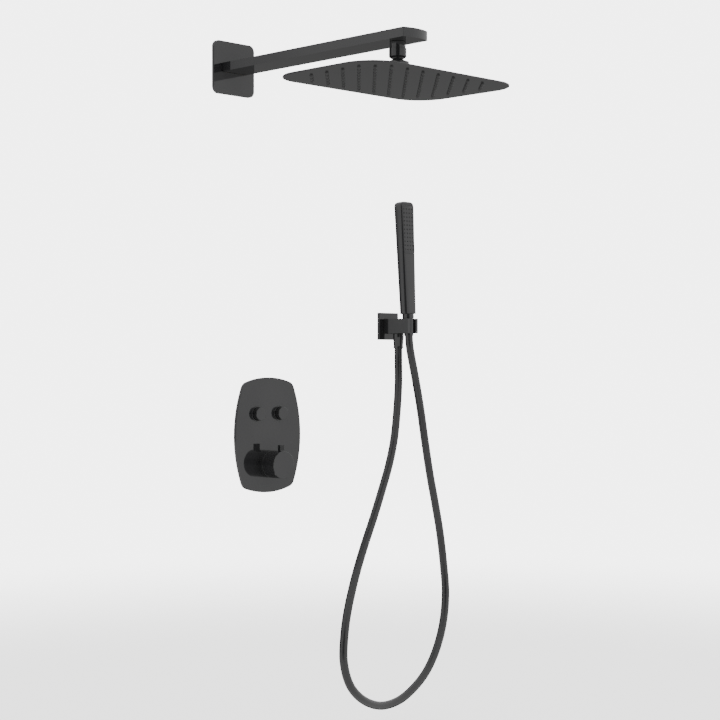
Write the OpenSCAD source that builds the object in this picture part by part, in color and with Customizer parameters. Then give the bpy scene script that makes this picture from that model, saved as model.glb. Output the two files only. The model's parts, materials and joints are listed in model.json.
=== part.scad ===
// Concealed shower set for a wall: a flat arm with a rain head, a hand shower on
// a wall outlet with its hose, and a thermostatic valve with two push buttons.
// Millimetres. X runs along the wall, -Y comes out of the wall, +Z is up.
// The origin is the centre of the arm's threaded stub, on the wall's face.

/* [Layout] */
// Distance along the wall from the arm to the hand shower outlet
outlet_x = 338; // [300:1:400]
// Drop from the arm to the hand shower outlet
outlet_drop = 386; // [330:1:420]
// Distance along the wall from the arm to the valve
valve_x = 70; // [0:1:100]
// Drop from the arm to the valve
valve_drop = 558; // [500:1:700]

/* [Arm] */
// Reach of the arm from the wall
arm_reach = 386; // [300:1:450]
// Width of the arm
arm_w = 48; // [44:1:54]
// Thickness of the arm
arm_t = 13; // [12:0.5:16]
// Radius of the arm's bowed free end, seen from above
arm_end_r = 60; // [40:5:120]
// Side of the square wall flange
arm_flange_side = 80; // [76:1:100]
// Distance from the arm's free end to the swivel axis
swivel_inset = 38; // [34:1:60]

/* [Rain head] */
// Width of the head along the wall
head_w = 300; // [260:10:400]
// Depth of the head away from the wall
head_d = 200; // [180:10:300]
// Corner radius of the head
head_corner_r = 50; // [30:1:60]
// Thickness of the head at its rim
head_rim_t = 2; // [2:0.5:4]
// Distance from the arm's centre to the head's spray face
head_drop = 62; // [61:1:66]
// Distance between nozzles in one row
nozzle_pitch = 30; // [28:1:32]
// Height of each nozzle below the spray face
nozzle_h = 3; // [2:0.5:4]

/* [Valve] */
// Width of the cover plate
plate_w = 134; // [128:1:150]
// Height of the cover plate
plate_h = 178; // [172:1:200]
// Depth of the cover plate
plate_t = 5; // [5:0.5:8]
// Diameter of each push button
button_d = 20; // [18:0.5:21]
// How far each push button stands out of the plate
button_out = 9; // [8:0.5:12]
// Travel of each push button
button_travel = 4; // [3:0.5:4.5]
// Diameter of the temperature knob
knob_d = 42.5; // [42:0.5:48]
// How far the knob stands out of the plate
knob_out = 35; // [34:1:45]

/* [Hand shower] */
// Side of the square outlet plate
outlet_side = 45; // [44:1:60]
// How far the holder block stands out of the wall
block_out = 60; // [58:1:62]
// Side of the holder block's square section
block_side = 24; // [23:0.5:26]
// Length of the handset's body
handset_len = 185; // [170:1:220]
// Width of the handset at its top
handset_top_w = 31; // [30:1:36]
// Width of the handset at its bottom
handset_bottom_w = 28; // [26:1:30]
// Thickness of the handset
handset_t = 18; // [17:0.5:20]
// Lean of the handset towards the wall, in degrees
handset_lean = 3; // [0:0.5:4]
// Outer diameter of the hose
hose_d = 13; // [12:0.5:14]

/* [Hidden] */

$fn = 64;
eps = 0.01;
gap = 0.3;              // between pieces that move past each other
fit = 0.1;              // radial running clearance of a shaft or a ball

black = [0.09, 0.09, 0.095];
soft_black = [0.14, 0.14, 0.15];
rubber_black = [0.05, 0.05, 0.05];
brass = [0.80, 0.64, 0.34];
steel = [0.72, 0.73, 0.75];
white = [0.90, 0.90, 0.88];

// Pipe threads are drawn as plain cylinders at their outer diameter.
thread_r = 10.4;        // half inch pipe thread, outside
thread_bore_r = 7;
female_r = 9.3;         // half inch pipe thread, inside
spigot_r = 7.5;         // thread that the hose nuts screw onto

// Arm
flange_t = 5;
flange_corner_r = 10;
flange_skin = 2;
flange_wall = 2.5;
base_t = 3;
base_w = 60;
base_h = 32;
base_corner_r = 4;
base_skin = 1;
arm_stub_len = 18;
arm_slot = 0.2;         // clearance round the arm in its flange
arm_corner_r = 0.6;
arm_bow = arm_end_r - sqrt(arm_end_r * arm_end_r - arm_w * arm_w / 4);
channel_w = 26;
channel_h = 6;
channel_past = 12;      // how far the arm's waterway runs past the swivel
swivel_y = -(arm_reach - swivel_inset);
nipple_r = 8;
nipple_bore_r = 5;
nipple_in = 3;
nipple_out = 11;
filter_t = 1;
filter_top = -arm_t / 2 - nipple_out - 0.2;
filter_hole_r = 0.5;
filter_ring = 1.9;      // distance between one ring of filter holes and the next

// Ball swivel, heights measured from the ball's centre
ball_z = -38;
ball_r = 9.6;
seat_r = ball_r + fit;
seat_outer_r = 10.2;
lower_seat = [-8, -4];  // heights between which each seat ring runs
upper_seat = [1, 4.5];
socket_r = seat_outer_r + fit;
stud_neck_r = 5.5;
stud_top_r = 11;
stud_nut_r = 12;
stud_nut_top = -arm_t / 2 - 0.1 - ball_z;
stud_nut_step = 22.5;
stud_nut_bottom = 9.5;
stud_nut_edge = 1.5;
stud_shoulder_r = 9;
stud_shoulder_bottom = 8.3;
stud_bore_r = 3.5;
collar_neck_r = 9.8;
collar_waist_r = 11.6;
collar_waist = 4;
collar_r = 15.5;
collar_edge = 0.6;
collar_hole_r = 8;
collar_top = 6;
collar_bottom = -14;
boss_r = socket_r - 0.1;
boss_top = -5;
boss_flange_r = 15;
boss_flange_t = 2;

// Rain head, heights measured from the spray face
face_z = -head_drop;
sheet_t = head_rim_t / 2;
pan_h = 7;
pan_inset = 14;
pan_r = 37;
pan_slope = 15;
pan_wall = 1.2;
mat_t = 0.8;
mat_gap = 9;
gasket_gap = 1;
gasket_w = 4;
gasket_t = 1;
nozzle_hole_r = 2.5;
nozzle_base_r = 2.3;
nozzle_tip_r = 1.6;
nozzle_side_gap = 25;    // least distance from the rim to a nozzle, along the wall
nozzle_end_gap = 10;
nozzle_cols = 2 * floor((head_w / 2 - nozzle_side_gap) / nozzle_pitch) + 1;
nozzle_rows = 2 * floor((head_d / 2 - nozzle_end_gap) / nozzle_pitch);
nozzle_sites = concat(
    [for (i = [0:nozzle_cols - 1], j = [0:nozzle_rows - 1])
        if (!((i == 0 || i == nozzle_cols - 1) && (j == 0 || j == nozzle_rows - 1)))
            [i - (nozzle_cols - 1) / 2, j - (nozzle_rows - 1) / 2] * nozzle_pitch],
    [for (i = [0:nozzle_cols - 2], j = [0:nozzle_rows - 2])
        [i - (nozzle_cols - 2) / 2, j - (nozzle_rows - 2) / 2] * nozzle_pitch]);

// Valve, places measured from the plate's centre
plate_side_r = 200;
plate_end_r = 140;
plate_corner_r = 14;
plate_rim = 2.5;
plate_skin = 2;
plate_gasket_w = 6;
knob_z = -45;
button_x = 23;
button_z = 33;
button_hole_r = button_d / 2 + 0.4;
knob_r = knob_d / 2;
knob_hole_r = 18;
sleeve_len = 9.5;
knob_wall = 2.5;
knob_face_t = 3;
knob_hub_r = 8;
knob_hub_back = 3;      // how far the hub stays inside the knob
knob_seam = 0.5;
knob_front = -plate_t - knob_out;
knob_back = -plate_t - sleeve_len - knob_seam;
spindle_r = 4.5;
spindle_front = knob_front + 8;
screw_r = 1.5;
screw_front = knob_front + 4.2;
screw_len = 15;
body_front = 3;
body_back = 26;
body_half_w = 28;
body_top = 58;
body_bottom = -66;
lug_half_w = 8;
lug_back = 11;
lug_len = 12;
ear_half_w = 44;        // thin ears that close the wall off behind the buttons
ear_t = 3;
ear_low = 15;
ear_high = 51;
port_y = 15;
port_depth = 12;
inlet_boss_r = 11.5;
inlet_x = 31;
top_port_x = 18;
passage_r = 4;
passage_in = 5;         // how far short of a cartridge's axis a passage ends
bore_slack = 0.2;
mid_passage_x = 14;
fixing_r = 2.6;
fixing_edge = 6;        // from a lug's end to its screw hole
cartridge_r = 16.8;
cartridge_back = 24;
piston_r = 8;
piston_front = 11;
piston_len = 6;
piston_bore_r = 1.5;
chamber_front = 7;
chamber_back = 21;
nut_r = 14;
nut_front = -10;
nut_back = body_front + 0.8;
small_cartridge_r = 10.8;
cartridge_floor = 3;
ring_w = 1.6;
ring_t = 1;
cap_t = 2;
stem_r = 3;
stem_back = 12;
spring_r = 5;
spring_wire_r = 0.5;
spring_turns = 4;
tab_w = 8;
tab_d = 6;
tab_out = 9;
tab_y = knob_front + 6.5;
tab_root = knob_r - knob_wall - 3.5;
tab_foot = 1.5;

// Hand shower, places measured from the centre of the outlet plate
outlet_t = 5;
outlet_corner_r = 1.5;
outlet_slot = 0.2;      // clearance round the block in its plate
outlet_stub_len = 11;
water_r = 5;
water_past = 2;
spigot_y = -27;
spigot_len = 11;
cradle_y = -50;
cage_r = 5.9;
cage_bore_r = 3.1;
cage_chamber_r = 4.6;
cage_top = 3;
cage_low = -block_side / 2 + 0.2;
cage_chamber = [-block_side / 2 + 2, -1];
poppet_r = 4.3;
poppet_stem_r = 2.9;
poppet = [-4.2, -1.3];
cone_low_slack = 0.45;  // the cradle's bore round the hand shower's cone
cone_top_slack = 0.35;
nut_top_r = 8.9;
nut_low_r = 7.5;
nut_grip_len = 6;
nut_ring_r = 8.1;
nut_ring_len = 3;
nut_bore_r = 4;
nut_floor = 4;
cone_top_r = 9.1;
cone_low_r = 7.6;
cone_low_z = -16;
neck_r = 9.5;
neck_low_z = 12.9;
neck_top_z = 19.5;
slot_w = 14;
washer_t = 1.5;
washer_bore_r = 3.5;
body_low_z = 20;
handset_edge_r = 3;      // upright edges at the top
handset_low_r = 8;      // upright edges at the bottom
crown_r = 8;            // the two top corners, seen from the front
inlet_len = 12;
chamber_w = 22;
chamber_d = 7;
chamber_len = 72;
face_w = 25;
face_len = 80;
face_r = 5;
face_t = 1.6;
face_slack = 0.2;
face_top_gap = 6;
spray_mat_t = 0.7;
spray_cols = 4;
spray_rows = 11;
spray_col_pitch = 6.2;
spray_row_pitch = 6.7;
dot_r = 1.2;
dot_h = 0.7;

// The hose's centre line, from the outlet's nut round the loop to the handset's nut
hose_sides = 10;
hose_steps = 2;         // rings between one route point and the next
hose_route = [
    [0, -27, -37], [0, -27, -60], [-4, -31, -95], [-15, -38, -140],
    [-30, -46, -185], [-50, -54, -225], [-75, -62, -265], [-105, -72, -308],
    [-135, -81, -350], [-163, -90, -393], [-187, -98, -440], [-201, -104, -480],
    [-205, -107, -520], [-193, -109, -557], [-162, -107, -584], [-118, -101, -600],
    [-72, -95, -600], [-30, -89, -587], [8, -83, -565], [38, -78, -532],
    [60, -73, -490], [71, -68, -445], [71, -64, -400], [64, -62, -345],
    [52, -62, -295], [40, -61, -245], [29, -60, -190], [20, -58, -135],
    [11, -55, -85], [3.5, -53, -50], [0.5, -52, -32], [0, -51, -16.2]];

// ---- Shared shapes ----

// Rectangle with round corners, in the XY plane
module round_rect(w, h, r) {
    square([w - 2 * r, h], center = true);
    square([w, h - 2 * r], center = true);
    for (x = [-1, 1], y = [-1, 1])
        translate([x * (w / 2 - r), y * (h / 2 - r)]) circle(r);
}

// Stands a flat outline up against the wall, from y = front to y = back
module wall_slab(front, back) {
    translate([0, back, 0]) rotate([90, 0, 0]) linear_extrude(back - front) children();
}

// Round bar along Y, from y = front to y = back
module y_bar(r, front, back) {
    translate([0, front, 0]) rotate([-90, 0, 0]) cylinder(h = back - front, r = r);
}

// Round bar along Z, from z = low to z = high
module z_bar(r, low, high) {
    translate([0, 0, low]) cylinder(h = high - low, r = r);
}

// Part of a hollow ball between two heights
module ball_band(outer, inner, low, high) {
    intersection() {
        difference() {
            sphere(outer);
            sphere(inner);
        }
        z_bar(outer + 1, low, high);
    }
}

module at_swivel() {
    translate([0, swivel_y, ball_z]) children();
}

module at_face() {
    translate([0, swivel_y, face_z]) children();
}

module at_valve() {
    translate([valve_x, 0, -valve_drop]) children();
}

module at_knob() {
    at_valve() translate([0, 0, knob_z]) children();
}

module at_button(side) {
    at_valve() translate([side * button_x, 0, button_z]) children();
}

module at_outlet() {
    translate([outlet_x, 0, -outlet_drop]) children();
}

// The handset's own frame: its axis is Z, and it leans towards the wall
module at_handset() {
    at_outlet() translate([0, cradle_y, 0]) rotate([-handset_lean, 0, 0]) children();
}

// ---- Arm ----

module arm_flange() {
    color(black) difference() {
        wall_slab(-flange_t, 0) round_rect(arm_flange_side, arm_flange_side, flange_corner_r);
        wall_slab(-flange_t + flange_skin, eps)
            round_rect(arm_flange_side - 2 * flange_wall, arm_flange_side - 2 * flange_wall,
                       flange_corner_r - flange_wall);
        wall_slab(-flange_t - eps, 1)
            square([arm_w + 2 * arm_slot, arm_t + 2 * arm_slot], center = true);
    }
}

module arm_base() {
    color(brass) difference() {
        union() {
            wall_slab(-base_t, 0) round_rect(base_w, base_h, base_corner_r);
            y_bar(thread_r, -base_t, arm_stub_len);
        }
        y_bar(thread_bore_r, -base_t + base_skin, arm_stub_len + eps);
        wall_slab(-base_t - eps, 0) square([channel_w, channel_h], center = true);
    }
}

module arm_outline() {
    offset(r = arm_corner_r) offset(delta = -arm_corner_r) intersection() {
        translate([-arm_w / 2, -arm_reach]) square([arm_w, arm_reach - base_t]);
        union() {
            translate([0, arm_end_r - arm_reach]) circle(arm_end_r, $fn = 180);
            translate([-arm_w, arm_bow - arm_reach]) square([2 * arm_w, arm_reach]);
        }
    }
    translate([-arm_w / 2, -arm_reach / 2]) square([arm_w, arm_reach / 2 - base_t]);
}

module arm_bar() {
    color(black) difference() {
        translate([0, 0, -arm_t / 2]) linear_extrude(arm_t) arm_outline();
        wall_slab(swivel_y - channel_past, 0) square([channel_w, channel_h], center = true);
        translate([0, swivel_y, 0]) z_bar(nipple_r, -arm_t / 2 - 1, 0);
    }
}

module arm_outlet_nipple() {
    color(brass) translate([0, swivel_y, 0]) difference() {
        z_bar(nipple_r, -arm_t / 2 - nipple_out, -arm_t / 2 + nipple_in);
        z_bar(nipple_bore_r, -arm_t / 2 - nipple_out - 1, 1);
    }
}

// ---- Ball swivel ----

module inlet_filter() {
    color(steel) translate([0, swivel_y, filter_top - filter_t]) difference() {
        cylinder(h = filter_t, r = nipple_r);
        for (ring = [0:2], k = [0:max(0, 6 * ring - 1)])
            rotate(k * 60 / max(1, ring)) translate([ring * filter_ring, 0, -1])
                cylinder(h = filter_t + 2, r = filter_hole_r);
    }
}

module ball_stud() {
    edge_top = stud_nut_bottom + stud_nut_edge;
    color(black) at_swivel() difference() {
        union() {
            sphere(ball_r);
            z_bar(stud_neck_r, 0, stud_nut_bottom + 1);
            z_bar(stud_shoulder_r, stud_shoulder_bottom, stud_nut_bottom + 1);
            translate([0, 0, stud_nut_bottom])
                cylinder(h = stud_nut_edge, r1 = stud_nut_r - stud_nut_edge, r2 = stud_nut_r);
            z_bar(stud_nut_r, edge_top - eps, stud_nut_step);
            z_bar(stud_top_r, edge_top, stud_nut_top);
        }
        z_bar(stud_bore_r, -ball_r - 1, stud_nut_top + 1);
        z_bar(nipple_r + 0.05, filter_top - filter_t - 0.1 - ball_z, stud_nut_top + 1);
    }
}

module ball_seat_lower() {
    color(white) at_swivel() ball_band(seat_outer_r, seat_r, lower_seat[0], lower_seat[1]);
}

module ball_seat_upper() {
    color(rubber_black) at_swivel() ball_band(seat_outer_r, seat_r, upper_seat[0], upper_seat[1]);
}

module swivel_collar() {
    color(black) at_swivel() difference() {
        union() {
            z_bar(collar_r, collar_bottom, collar_waist - collar_edge);
            translate([0, 0, collar_waist - collar_edge - eps])
                cylinder(h = collar_edge + eps, r1 = collar_r, r2 = collar_r - collar_edge);
            translate([0, 0, collar_waist - eps])
                cylinder(h = collar_top - collar_waist + eps, r1 = collar_waist_r, r2 = collar_neck_r);
        }
        sphere(socket_r);
        z_bar(socket_r, collar_bottom - 1, 0);
        z_bar(collar_hole_r, 0, collar_top + 1);
    }
}

// ---- Rain head ----

module head_boss() {
    pan_top = pan_h + face_z - ball_z;
    color(brass) at_swivel() difference() {
        union() {
            z_bar(boss_flange_r, pan_top, pan_top + boss_flange_t);
            z_bar(boss_r, pan_top, boss_top);
        }
        sphere(socket_r);
        z_bar(nipple_bore_r, pan_top - 1, 0);
    }
}

// The upper sheet is pressed up in the middle into a shallow pan that spreads the water
module pan_outline(inset) {
    round_rect(head_w - 2 * (pan_inset + inset), head_d - 2 * (pan_inset + inset), pan_r - inset);
}

module pan_solid(inset, low, high) {
    hull() {
        translate([0, 0, low]) linear_extrude(eps) pan_outline(inset);
        translate([0, 0, high - eps]) linear_extrude(eps) pan_outline(inset + pan_slope);
    }
}

module head_back() {
    color(black) at_face() difference() {
        union() {
            translate([0, 0, sheet_t]) linear_extrude(head_rim_t - sheet_t)
                round_rect(head_w, head_d, head_corner_r);
            pan_solid(0, sheet_t, pan_h);
        }
        pan_solid(pan_wall, sheet_t - 1, pan_h - pan_wall);
        z_bar(nipple_bore_r, 0, pan_h + 1);
    }
}

module head_gasket() {
    color(rubber_black) at_face() translate([0, 0, sheet_t + mat_t]) linear_extrude(gasket_t) difference() {
        pan_outline(mat_gap + gasket_gap);
        pan_outline(mat_gap + gasket_gap + gasket_w);
    }
}

module head_nozzles() {
    color(rubber_black) at_face() {
        translate([0, 0, sheet_t]) linear_extrude(mat_t) pan_outline(mat_gap);
        for (site = nozzle_sites)
            translate([site[0], site[1], -nozzle_h])
                cylinder(h = nozzle_h + sheet_t, r1 = nozzle_tip_r, r2 = nozzle_base_r, $fn = 16);
    }
}

module head_face() {
    color(black) at_face() difference() {
        linear_extrude(sheet_t) round_rect(head_w, head_d, head_corner_r);
        for (site = nozzle_sites)
            translate([site[0], site[1], -1]) cylinder(h = sheet_t + 2, r = nozzle_hole_r, $fn = 16);
    }
}

// ---- Valve ----

// Barrel outline: four shallow arcs that meet in round corners
module valve_outline(inset) {
    half_w = plate_w / 2 - inset;
    half_h = plate_h / 2 - inset;
    corner = plate_corner_r - inset / 2;
    offset(r = corner, $fn = 48) offset(delta = -corner) intersection() {
        translate([half_w - plate_side_r, 0]) circle(plate_side_r, $fn = 180);
        translate([plate_side_r - half_w, 0]) circle(plate_side_r, $fn = 180);
        translate([0, half_h - plate_end_r]) circle(plate_end_r, $fn = 150);
        translate([0, plate_end_r - half_h]) circle(plate_end_r, $fn = 150);
    }
}

module valve_plate() {
    color(black) at_valve() difference() {
        wall_slab(-plate_t, 0) valve_outline(0);
        wall_slab(-plate_t + plate_skin, eps) valve_outline(plate_rim);
        translate([0, 0, knob_z]) y_bar(knob_hole_r, -plate_t - 1, 1);
        for (side = [-1, 1])
            translate([side * button_x, 0, button_z]) y_bar(button_hole_r, -plate_t - 1, 1);
    }
}

module valve_gasket() {
    color(rubber_black) at_valve() wall_slab(-plate_t + plate_skin, 0) difference() {
        valve_outline(plate_rim + gap);
        valve_outline(plate_rim + plate_gasket_w);
    }
}

module valve_body() {
    color(brass) at_valve() difference() {
        union() {
            translate([-body_half_w, body_front, body_bottom])
                cube([2 * body_half_w, body_back - body_front, body_top - body_bottom]);
            translate([-lug_half_w, body_front, body_bottom - lug_len])
                cube([2 * lug_half_w, lug_back - body_front, body_top - body_bottom + 2 * lug_len]);
            translate([-ear_half_w, body_front, ear_low])
                cube([2 * ear_half_w, ear_t, ear_high - ear_low]);
            translate([-inlet_x, port_y, knob_z]) rotate([0, 90, 0])
                cylinder(h = 2 * inlet_x, r = inlet_boss_r);
        }
        translate([0, 0, knob_z]) y_bar(cartridge_r + bore_slack, body_front - 1, cartridge_back);
        for (side = [-1, 1]) {
            translate([side * button_x, 0, button_z])
                y_bar(small_cartridge_r + bore_slack, body_front - 1, cartridge_back);
            translate([side * inlet_x, port_y, knob_z]) rotate([0, -side * 90, 0])
                translate([0, 0, -1]) cylinder(h = port_depth + 1, r = female_r);
            translate([side * top_port_x, port_y, 0]) {
                z_bar(female_r, body_top - port_depth, body_top + 1);
                z_bar(passage_r, button_z + passage_in, body_top - port_depth + 1);
            }
            translate([side * mid_passage_x, port_y, 0]) z_bar(passage_r, knob_z + passage_in, button_z);
        }
        translate([0, port_y, knob_z]) rotate([0, 90, 0])
            cylinder(h = 2 * inlet_x - port_depth, r = passage_r, center = true);
        for (z = [body_top + lug_len - fixing_edge, body_bottom - lug_len + fixing_edge])
            translate([0, 0, z]) y_bar(fixing_r, body_front - 1, body_back + 1);
    }
}

module thermostat_cartridge() {
    color(soft_black) at_knob() difference() {
        y_bar(cartridge_r, body_front + 1, cartridge_back - bore_slack);
        y_bar(piston_r + fit, chamber_front, chamber_back);
        y_bar(spindle_r + fit, body_front, chamber_front + 1);
    }
}

module cartridge_nut() {
    color(brass) at_knob() difference() {
        translate([0, nut_back, 0]) rotate([90, 0, 0])
            cylinder(h = nut_back - nut_front, r = nut_r, $fn = 6);
        y_bar(spindle_r + fit, nut_front - 1, nut_back + 1);
    }
}

module thermostat_piston() {
    color(steel) at_knob() difference() {
        y_bar(piston_r, piston_front, piston_front + piston_len);
        y_bar(piston_bore_r, piston_front - 1, piston_front + piston_len + 1);
    }
}

module temperature_spindle() {
    color(brass) at_knob() difference() {
        y_bar(spindle_r, spindle_front, chamber_front + 1);
        y_bar(screw_r + fit, spindle_front - 1, screw_front + screw_len + 1);
    }
}

module knob_sleeve() {
    color(black) at_knob() difference() {
        y_bar(knob_r, -plate_t - sleeve_len, -plate_t);
        y_bar(knob_r - knob_wall, -plate_t - sleeve_len - 1, -plate_t + 1);
    }
}

module temperature_knob() {
    color(black) at_knob() difference() {
        y_bar(knob_r, knob_front, knob_back);
        difference() {
            y_bar(knob_r - knob_wall, knob_front + knob_face_t, knob_back + 1);
            y_bar(knob_hub_r, knob_front, knob_back - knob_hub_back);
        }
        y_bar(spindle_r + fit / 2, spindle_front - 1, knob_back + 1);
        y_bar(screw_r + bore_slack, screw_front - bore_slack, knob_back);
        translate([-tab_w / 2 - gap, tab_y - tab_d / 2 - gap, tab_root])
            cube([tab_w + 2 * gap, tab_d + 2 * gap, knob_r + 1 - tab_root]);
    }
}

module knob_screw() {
    color(steel) at_knob() y_bar(screw_r, screw_front, screw_front + screw_len);
}

// Ribbed button that has to be pressed before the knob turns past its hot stop
module stop_button() {
    rib = tab_w / 7;
    color(soft_black) at_knob() translate([0, tab_y, 0]) difference() {
        union() {
            translate([-tab_w / 2, -tab_d / 2, tab_root])
                cube([tab_w, tab_d, knob_r + tab_out - tab_root]);
            translate([-tab_w / 2 - tab_foot, -tab_d / 2, tab_root - tab_foot])
                cube([tab_w + 2 * tab_foot, tab_d, tab_foot]);
        }
        for (k = [0:2], side = [-1, 1])
            translate([(k - 1) * 2 * rib - rib / 2, side * tab_d / 2 - 0.5, knob_r + 1])
                cube([rib, 1, tab_out]);
    }
}

module button_cartridge(side) {
    color(soft_black) at_button(side) difference() {
        y_bar(small_cartridge_r, body_front, cartridge_back - bore_slack);
        y_bar(stem_r + fit, body_front - 1, cartridge_back - cartridge_floor);
    }
}

module button_stem(side) {
    color(steel) at_button(side) y_bar(stem_r, -plate_t - button_out + cap_t, stem_back);
}

module button_spring(side) {
    front = -plate_t - button_out + cap_t + spring_wire_r;
    back = body_front - spring_wire_r;
    steps = spring_turns * 12;
    line = [for (i = [0:steps])
        [spring_r * cos(30 * i), front + (back - front) * i / steps, spring_r * sin(30 * i)]];
    color(steel) at_button(side) tube_along(line, spring_wire_r, 6);
}

module button_ring(side) {
    color(black) at_button(side) difference() {
        y_bar(button_hole_r + ring_w, -plate_t - ring_t, -plate_t);
        y_bar(button_hole_r, -plate_t - ring_t - 1, 0);
    }
}

module button_cap(side) {
    color(black) at_button(side) difference() {
        y_bar(button_d / 2, -plate_t - button_out, body_front - 1 - button_travel);
        y_bar(button_d / 2 - cap_t, -plate_t - button_out + cap_t, body_front - button_travel);
    }
}

// ---- Hand shower ----

module outlet_plate() {
    color(black) at_outlet() wall_slab(-outlet_t, 0) difference() {
        round_rect(outlet_side, outlet_side, outlet_corner_r);
        square([block_side + 2 * outlet_slot, block_side + 2 * outlet_slot], center = true);
    }
}

module outlet_stub() {
    color(brass) at_outlet() difference() {
        y_bar(thread_r, 0, outlet_stub_len);
        y_bar(water_r, -1, outlet_stub_len + 1);
    }
}

module holder_block() {
    half = block_side / 2;
    color(black) at_outlet() difference() {
        translate([-half, -block_out, -half]) cube([block_side, block_out, block_side]);
        y_bar(water_r, spigot_y - water_past, 1);
        translate([0, spigot_y, 0]) z_bar(cage_r + fit, -half - 1, cage_top + 1);
        translate([0, cradle_y, 0]) rotate([-handset_lean, 0, 0]) {
            translate([0, 0, -half - 2])
                cylinder(h = block_side + 4, r1 = cone_low_r + cone_low_slack,
                         r2 = cone_top_r + cone_top_slack);
            translate([-slot_w / 2, -block_side, -half - 3]) cube([slot_w, block_side, block_side + 6]);
        }
    }
}

module outlet_spigot() {
    half = block_side / 2;
    color(brass) at_outlet() translate([0, spigot_y, 0]) difference() {
        z_bar(spigot_r, -half - spigot_len, -half);
        z_bar(nut_bore_r, -half - spigot_len - 1, -half + 1);
    }
}

module check_valve_cage() {
    color(white) at_outlet() translate([0, spigot_y, 0]) difference() {
        z_bar(cage_r, cage_low, cage_top);
        z_bar(cage_bore_r, cage_low - 1, cage_top + 1);
        z_bar(cage_chamber_r, cage_chamber[0], cage_chamber[1]);
    }
}

module check_valve_poppet() {
    color(rubber_black) at_outlet() translate([0, spigot_y, 0]) {
        z_bar(poppet_r, poppet[0], poppet[1]);
        z_bar(poppet_stem_r, poppet[1] - eps, cage_top);
    }
}

module outlet_hose_nut() {
    top = -block_side / 2 - 0.2;
    low = hose_route[0][2] + gap;
    color(black) at_outlet() translate([0, spigot_y, 0]) difference() {
        union() {
            z_bar(nut_top_r, top - nut_grip_len, top);
            translate([0, 0, low])
                cylinder(h = top - nut_grip_len - low, r1 = nut_low_r, r2 = nut_top_r);
            z_bar(nut_ring_r, low, low + nut_ring_len);
        }
        z_bar(spigot_r + 0.05, top - spigot_len, top + 1);
        z_bar(nut_bore_r, low + nut_floor, top);
    }
}

// Smooth curve through the route's points
function spline(a, b, c, d, t) =
    0.5 * (2 * b + (c - a) * t + (2 * a - 5 * b + 4 * c - d) * t * t
           + (3 * b - a - 3 * c + d) * t * t * t);
function route_at(p, i, t) =
    spline(p[max(0, i - 1)], p[i], p[i + 1], p[min(len(p) - 1, i + 2)], t);
function unit(v) = v / norm(v);
function heading(p, i) = unit(p[min(len(p) - 1, i + 1)] - p[max(0, i - 1)]);

// Closed tube round a line of points; no stretch of the line may run along Y
module tube_along(p, r, sides) {
    rings = [for (i = [0:len(p) - 1])
        let (ahead = heading(p, i), side = unit(cross(ahead, [0, 1, 0])), up = cross(ahead, side))
            for (k = [0:sides - 1])
                p[i] + r * (side * cos(360 * k / sides) + up * sin(360 * k / sides))];
    last = (len(p) - 1) * sides;
    walls = [for (i = [0:len(p) - 2], k = [0:sides - 1])
        let (a = i * sides + k, b = i * sides + (k + 1) % sides)
            [a, a + sides, b + sides, b]];
    ends = [[for (k = [0:sides - 1]) k], [for (k = [sides - 1:-1:0]) last + k]];
    polyhedron(rings, concat(walls, ends), convexity = 10);
}

module hose() {
    count = len(hose_route);
    line = concat(
        [for (i = [0:count - 2], s = [0:hose_steps - 1]) route_at(hose_route, i, s / hose_steps)],
        [hose_route[count - 1]]);
    color(soft_black) at_outlet() tube_along(line, hose_d / 2, hose_sides);
}

module handset_hose_nut() {
    color(black) at_handset() difference() {
        union() {
            z_bar(neck_r, neck_low_z, neck_top_z);
            translate([0, 0, cone_low_z])
                cylinder(h = neck_low_z - cone_low_z, r1 = cone_low_r, r2 = cone_top_r);
        }
        z_bar(spigot_r + fit, neck_top_z - spigot_len, neck_top_z + 1);
        z_bar(nut_bore_r, cone_low_z + nut_floor, neck_top_z);
    }
}

module hose_washer() {
    seat_z = neck_top_z - spigot_len + 0.2;
    color(rubber_black) at_handset() difference() {
        z_bar(spigot_r, seat_z, seat_z + washer_t);
        z_bar(washer_bore_r, 0, neck_top_z);
    }
}

module handset_inlet() {
    color(brass) at_handset() difference() {
        z_bar(spigot_r, neck_top_z - spigot_len + 0.7 + washer_t, body_low_z + inlet_len);
        z_bar(nut_bore_r, 0, body_low_z + inlet_len + 1);
    }
}

// Four upright edges of the handset's outer skin, for a stretch of its height
module handset_corners(w, r, z, tall) {
    for (x = [-1, 1], y = [-1, 1])
        translate([x * (w / 2 - r), y * (handset_t / 2 - r), z]) cylinder(h = tall, r = r, $fn = 48);
}

module handset_body() {
    top = body_low_z + handset_len;
    front = -handset_t / 2;
    face_z = top - face_top_gap - face_len / 2;
    color(black) at_handset() difference() {
        hull() {
            handset_corners(handset_bottom_w, handset_low_r, body_low_z, 1);
            handset_corners(handset_top_w, handset_edge_r, top - crown_r - 1, 1);
            for (x = [-1, 1], turn = [0, 45, 90])
                translate([x * (handset_top_w / 2 - crown_r), 0, top - crown_r]) rotate([90, 0, 0])
                    cylinder(h = handset_t - 2 * handset_edge_r * (1 - sin(turn)),
                             r = crown_r - handset_edge_r * (1 - cos(turn)), center = true);
        }
        translate([0, front + face_t, face_z]) rotate([90, 0, 0])
            linear_extrude(face_t + 1)
                round_rect(face_w + 2 * face_slack, face_len + 2 * face_slack, face_r + face_slack);
        translate([-chamber_w / 2, front, face_z - chamber_len / 2])
            cube([chamber_w, chamber_d + face_t, chamber_len]);
        z_bar(spigot_r, body_low_z - 1, body_low_z + inlet_len + 0.2);
        z_bar(nut_bore_r, body_low_z, face_z);
    }
}

module at_spray_face() {
    at_handset()
        translate([0, -handset_t / 2, body_low_z + handset_len - face_top_gap - face_len / 2])
            rotate([90, 0, 0]) children();
}

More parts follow.
